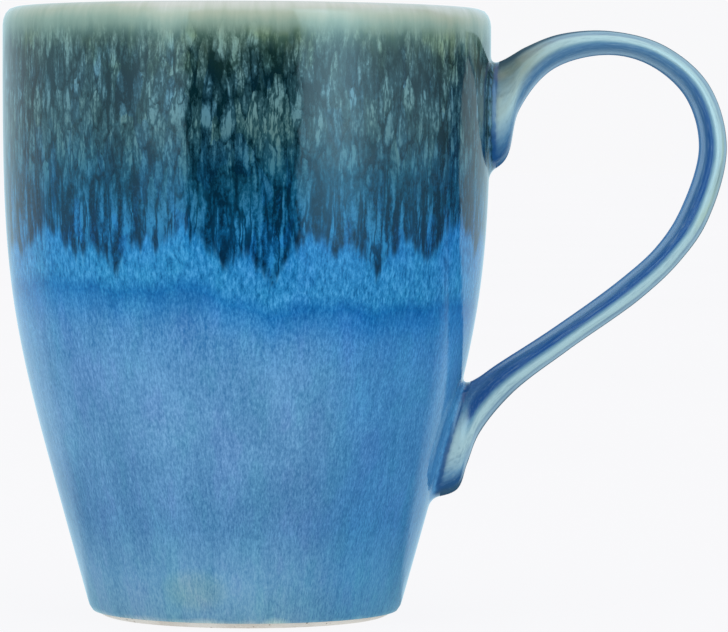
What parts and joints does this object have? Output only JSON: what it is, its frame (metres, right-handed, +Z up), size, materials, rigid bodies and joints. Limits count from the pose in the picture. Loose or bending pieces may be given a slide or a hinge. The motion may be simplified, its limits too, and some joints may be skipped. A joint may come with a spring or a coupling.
{
  "type": "mug",
  "caption": "Tall tapered stoneware mug with a looped strap handle luted to the wall, glazed inside and out, standing on a bare foot ring.",
  "frame": {"origin": "bottom centre of the whole mug's bounding box, on the table plane; the cup's own axis stands 21.4 mm to the -X side of it", "axes": "+Z up out of the mouth, +X from the cup towards the handle, +Y across the handle's strap"},
  "size_m": [0.1311, 0.0884, 0.11],
  "materials": {
    "bare_stoneware": "matte",
    "outside_glaze": "gloss",
    "inside_glaze": "gloss",
    "strap_glaze": "gloss"
  },
  "bodies": {
    "root": {"body": "bare_stoneware", "handle": "bare_stoneware", "upper_joint": "outside_glaze", "lower_joint": "outside_glaze", "outer_glaze": "outside_glaze", "liner_glaze": "inside_glaze", "handle_glaze": "strap_glaze", "recess_glaze": "outside_glaze"}
  },
  "joints": []
}
